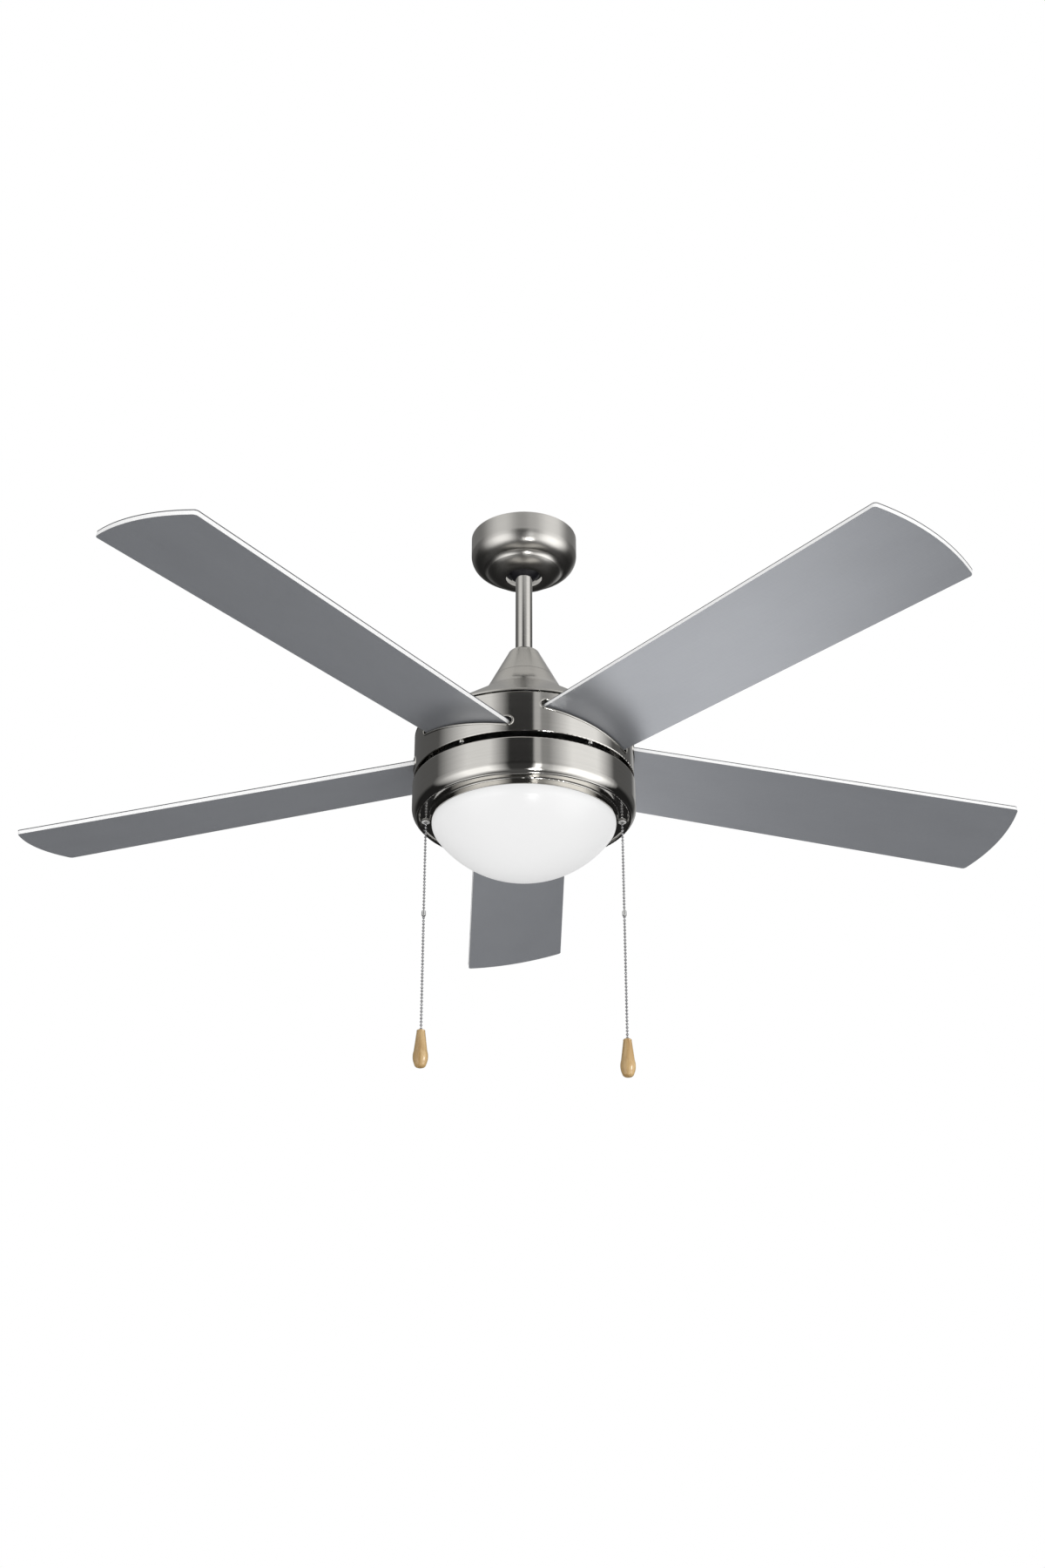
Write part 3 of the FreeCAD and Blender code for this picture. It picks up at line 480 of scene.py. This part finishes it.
def bead_chain(name, path):
    """Hollow pressed beads on short wire links."""
    length = sum((b - a).length for a, b in zip(path, path[1:]))
    count = int(length / BEAD_PITCH)
    pitch = (length - 2 * BEAD_RADIUS) / (count - 1)
    work = bmesh.new()
    rings = 9
    for i in range(count):
        centre = along(path, BEAD_RADIUS + pitch * i)
        profile = []
        for k in range(rings + 1):
            angle = math.pi * k / rings
            profile.append((max(BEAD_RADIUS * math.sin(angle), LINK_RADIUS * 0.9),
                            centre.z + BEAD_RADIUS * 0.97 * math.cos(angle)))
        profile = [(0.0, profile[0][1])] + profile + [(0.0, profile[-1][1])]
        lathe(work, profile, CHAIN_SIDES, at=(centre.x, centre.y))
        if i:
            top = along(path, BEAD_RADIUS + pitch * (i - 1)).z - BEAD_RADIUS * 0.8
            lathe(work, [(0.0, top), (LINK_RADIUS, top), (LINK_RADIUS, centre.z + BEAD_RADIUS * 0.8),
                         (0.0, centre.z + BEAD_RADIUS * 0.8)], 8, at=(centre.x, centre.y))
    bmesh.ops.recalc_face_normals(work, faces=work.faces)
    return from_bmesh(name, work)


def make_chain(side):
    body = f"{side}_pendant"
    place = middle(f"{side}_chain")
    top = Vector((place.x, place.y, high(f"{side}_chain").z))
    bottom = Vector((place.x, place.y, low(f"{side}_chain").z))
    path = route_points([top, bottom])
    chain = bead_chain(f"{side}_bead_chain", path)
    give(chain, MATERIALS["bead_chain"])
    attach(chain, body)
    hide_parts(f"{side}_chain")
    connector = chain_connector(side, body)
    drop = wooden_drop(side, body)
    return drop


def chain_connector(side, body):
    """Bell coupling: a sleeve with a pinched mouth at each end."""
    node = f"{side}_chain_connector"
    place, top, bottom = middle(node), high(node).z, low(node).z
    r = radius_of(node)
    points = outline((0.0, bottom), (r * 0.62, bottom), (r * 0.9, bottom + 0.3 * MM, r, bottom + 1.3 * MM),
                     (r, top - 1.6 * MM), (r * 0.92, top - 0.7 * MM, r * 0.6, top), (0.0, top), steps=6)
    work = bmesh.new()
    lathe(work, points, 24, at=(place.x, place.y))
    bmesh.ops.recalc_face_normals(work, faces=work.faces)
    piece = from_bmesh(f"{side}_bell_connector", work)
    give(piece, MATERIALS["screw_steel"])
    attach(piece, body)
    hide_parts(node)
    return piece


def wooden_drop(side, body):
    """Turned drop with a bored top and a plug at the bottom where the last bead sits."""
    node = f"{side}_chain_fob"
    place, top, bottom = middle(node), high(node).z, low(node).z
    full = radius_of(node)
    length = top - bottom
    bore = 1.9 * MM
    points = outline((0.0, top - 4 * MM), (bore, top - 4 * MM), (bore, top - 0.5 * MM),
                     (bore + 0.15 * MM, top - 0.1 * MM, bore + 0.6 * MM, top),
                     (full * 0.42, top), (full * 0.54, top - 0.5 * MM, full * 0.57, top - 2.0 * MM),
                     (full * 0.745, top - length * 0.32, full * 0.90, top - length * 0.56),
                     (full, top - length * 0.78, full * 0.80, top - length * 0.915),
                     (full * 0.56, top - length * 0.985, full * 0.30, bottom), (1.6 * MM, bottom),
                     (1.2 * MM, bottom + 0.1 * MM, 1.1 * MM, bottom + 0.6 * MM),
                     (1.1 * MM, bottom + 2.5 * MM),
                     (0.0, bottom + 2.5 * MM), steps=14)
    work = bmesh.new()
    lathe(work, points, 48, at=(place.x, place.y))
    bmesh.ops.recalc_face_normals(work, faces=work.faces)
    piece = from_bmesh(f"{side}_wooden_drop", work)
    give(piece, MATERIALS["maple"])
    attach(piece, body)
    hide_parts(node)
    return piece


# --- blades ---------------------------------------------------------------------------
FIRST_BLADE = math.radians(91.24)
BLADE_COUNT = 5
BLADE_EDGE_ROUND = 0.4 * MM
FILM_EDGE_AND_SHADE = 1.2 * MM            # the top film's edge, widened into a dark line above the white band that is partly painted shade


def blade_with_edges(index):
    """The blade's board, faced with film below and above, with a slightly rounded near-white edge band that
    is partly a painted reflection, and a dark line along its top that is partly the film's edge and partly
    painted shade.
    """
    node = f"blade_{index + 1}"
    azimuth = FIRST_BLADE + 2 * math.pi * index / BLADE_COUNT
    work = bmesh.new()
    work.from_mesh(NODES[node].data)
    bmesh.ops.remove_doubles(work, verts=work.verts, dist=1e-6)
    bmesh.ops.recalc_face_normals(work, faces=work.faces)
    faces = sorted(work.faces, key=lambda f: f.calc_area())
    upright = faces[-1].normal.copy()
    if upright.z < 0:
        upright.negate()
    across = [v.co.dot(upright) for v in work.verts]
    film_and_shade_line = max(across) - FILM_EDGE_AND_SHADE
    bmesh.ops.bisect_plane(work, geom=work.verts[:] + work.edges[:] + work.faces[:],
                           plane_co=upright * film_and_shade_line, plane_no=upright)
    rim = [e for e in work.edges if len(e.link_faces) == 2
           and sum(f.normal.dot(upright) < -0.9 for f in e.link_faces) == 1
           and sum(abs(f.normal.dot(upright)) < 0.1 for f in e.link_faces) == 1]
    bmesh.ops.bevel(work, geom=rim, offset=BLADE_EDGE_ROUND, segments=2, profile=0.5, affect="EDGES",
                    clamp_overlap=True)
    blade = from_bmesh(f"faced_blade_{index + 1}", work, smooth=False)
    blade.matrix_world = NODES[node].matrix_world.copy()
    give(blade, silver_film(f"silver_film_{index + 1}", azimuth))
    blade.data.materials.append(MATERIALS["edge_band_and_reflection"])
    blade.data.materials.append(MATERIALS["film_edge_and_shade"])
    # side faces: the near-white band, partly painted reflection, and along the top the dark line, partly
    # painted shade
    for face in blade.data.polygons:
        if abs(face.normal.dot(upright)) < 0.97:
            face.material_index = 2 if face.center.dot(upright) > film_and_shade_line else 1
    blade.visible_glossy = False
    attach(blade, "rotor")
    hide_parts(node)
    return blade


# --- surroundings ---------------------------------------------------------------------
# The studio as the polished metal sees it: two soft boxes, a dark gap between them with a narrow strip in
# it, a rim lamp behind, and the room. Azimuths are in degrees from the front, each lamp fading in and out.
LEFT_BOX = (-100, -60, -35, -15)
STRIP = (9, 11, 16, 18)
RIGHT_BOX = (25, 50, 80, 105)
RIM = (145, 160, 160, 175)
# Brightness of the room, left box, gap, strip, the gap's right part, right box and rim, at three heights.
BELOW = (0.02, 1.6, 0.05, 2.0, 0.6, 2.0, 0.02)
LEVEL = (0.12, 1.0, 0.03, 0.6, 0.35, 1.2, 0.5)
ABOVE = (0.30, 0.8, 0.75, 0.75, 0.75, 1.0, 0.5)
OVERHEAD = (0.60, 0.595, 0.58)
NADIR = (0.10, 0.10, 0.10)
# The soft light on matt surfaces, by azimuth: a little stronger from the right.
SOFT_LIGHT = ((-180, 0.86), (-90, 0.68), (0, 0.90), (60, 1.08), (120, 0.98), (180, 0.86))
STAR = (13.0, -46.0)            # azimuth and elevation of one small bright lamp
STAR_TIGHTNESS = 700.0
STAR_BRIGHTNESS = 60.0
FLOOR_LEVEL = -2.44
FLOOR_HALF = 7.0


def surroundings():
    world = bpy.data.worlds.new("studio")
    SCENE.world = world
    world.use_nodes = True
    tree = world.node_tree
    nodes = Nodes(tree)
    background = tree.nodes["Background"]
    direction = nodes.add("ShaderNodeTexCoord").outputs["Generated"]
    x, y, z = split(nodes, direction)
    azimuth = nodes.math("ARCTAN2", x, nodes.math("MULTIPLY", y, -1.0))
    turned = nodes.math("MULTIPLY_ADD", azimuth, 1 / (2 * math.pi), 0.5)
    height = nodes.math("MULTIPLY_ADD", z, 0.5, 0.5)

    def by_azimuth(table):
        return nodes.ramp(turned, [(0.5 + degrees / 360.0, value) for degrees, value in table])

    def lamps(levels):
        room, left, gap, strip, inner, right, rim = levels
        brightness = (room, left, left, gap, gap, strip, strip, inner, inner, right, right, room,
                      room, rim, rim, room)
        return by_azimuth(zip(LEFT_BOX + STRIP + RIGHT_BOX + RIM, brightness))

    def by_elevation(table):
        return nodes.ramp(height, [(0.5 + 0.5 * math.sin(math.radians(e)), value) for e, value in table])

    studio = nodes.mix(by_elevation(((-58, 0.0), (-36, 1.0))), NADIR, lamps(BELOW))
    studio = nodes.mix(by_elevation(((-6, 0.0), (10, 1.0))), studio, lamps(LEVEL))
    studio = nodes.mix(by_elevation(((31.0, 0.0), (32.2, 1.0))), studio, lamps(ABOVE))
    studio = nodes.mix(by_elevation(((42, 0.0), (60, 1.0))), studio, OVERHEAD)
    around, up = (math.radians(v) for v in STAR)
    star = (math.sin(around) * math.cos(up), -math.cos(around) * math.cos(up), math.sin(up))
    towards = nodes.add("ShaderNodeVectorMath", operation="DOT_PRODUCT")
    nodes.link(direction, towards.inputs[0])
    towards.inputs[1].default_value = star
    glow = nodes.math("MULTIPLY", nodes.math("POWER", nodes.math("MAXIMUM", towards.outputs["Value"], 0.0),
                                                STAR_TIGHTNESS), STAR_BRIGHTNESS)
    studio = nodes.mix(1.0, studio, joined(nodes, glow, glow, glow), "ADD")
    ray = nodes.add("ShaderNodeLightPath")
    lit = nodes.mix(ray.outputs["Is Diffuse Ray"], studio, by_azimuth(SOFT_LIGHT))
    nodes.link(nodes.mix(ray.outputs["Is Camera Ray"], lit, (1.0, 1.0, 1.0)), background.inputs["Color"])
    floor_mesh = bmesh.new()
    bmesh.ops.create_grid(floor_mesh, x_segments=2, y_segments=2, size=FLOOR_HALF)
    floor = from_bmesh("floor", floor_mesh, smooth=False)
    floor.location.z = FLOOR_LEVEL
    floor.visible_glossy = False
    made, _, _ = material("floor", (0.86, 0.86, 0.86), 0.0, 0.8)
    give(floor, made)


def area_light(name, place, target, size, power, only=(), without=()):
    """A soft lamp; with only, it lights and shows in those pieces alone, and with without, in all others."""
    data = bpy.data.lights.new(name, "AREA")
    data.shape = "RECTANGLE"
    data.size, data.size_y = size
    data.energy = power
    lamp = bpy.data.objects.new(name, data)
    lamp.location = place
    lamp.rotation_mode = "QUATERNION"
    lamp.rotation_quaternion = (Vector(target) - Vector(place)).to_track_quat("-Z", "Y")
    lamp.visible_camera = False
    lamp.visible_glossy = bool(only)
    SCENE.collection.objects.link(lamp)
    if only or without:
        receivers = bpy.data.collections.new(f"{name}_receivers")
        for obj in only or without:
            receivers.objects.link(obj)
        for entry in receivers.collection_objects:
            entry.light_linking.link_state = "INCLUDE" if only else "EXCLUDE"
        lamp.light_linking.receiver_collection = receivers


make_camera()
smooth_cad()
drops = [make_chain(side) for side in ("fan", "light")]
blades = [blade_with_edges(index) for index in range(BLADE_COUNT)]
surroundings()
area_light("key", (-1.6, -2.4, -1.9), (0, 0, -0.38), (1.6, 1.2), 16, without=drops)
area_light("fill", (1.8, -2.2, -1.7), (0, 0, -0.38), (1.4, 1.2), 12)
area_light("sheen", (-0.08, 1.50, -1.93), (0, 0, -0.32), (0.8, 0.8), 9.5, only=blades)
area_light("side", (1.3, -0.8, -0.75), (0, 0, -0.68), (0.35, 0.5), 9, only=drops)
SCENE.view_settings.view_transform = "Standard"
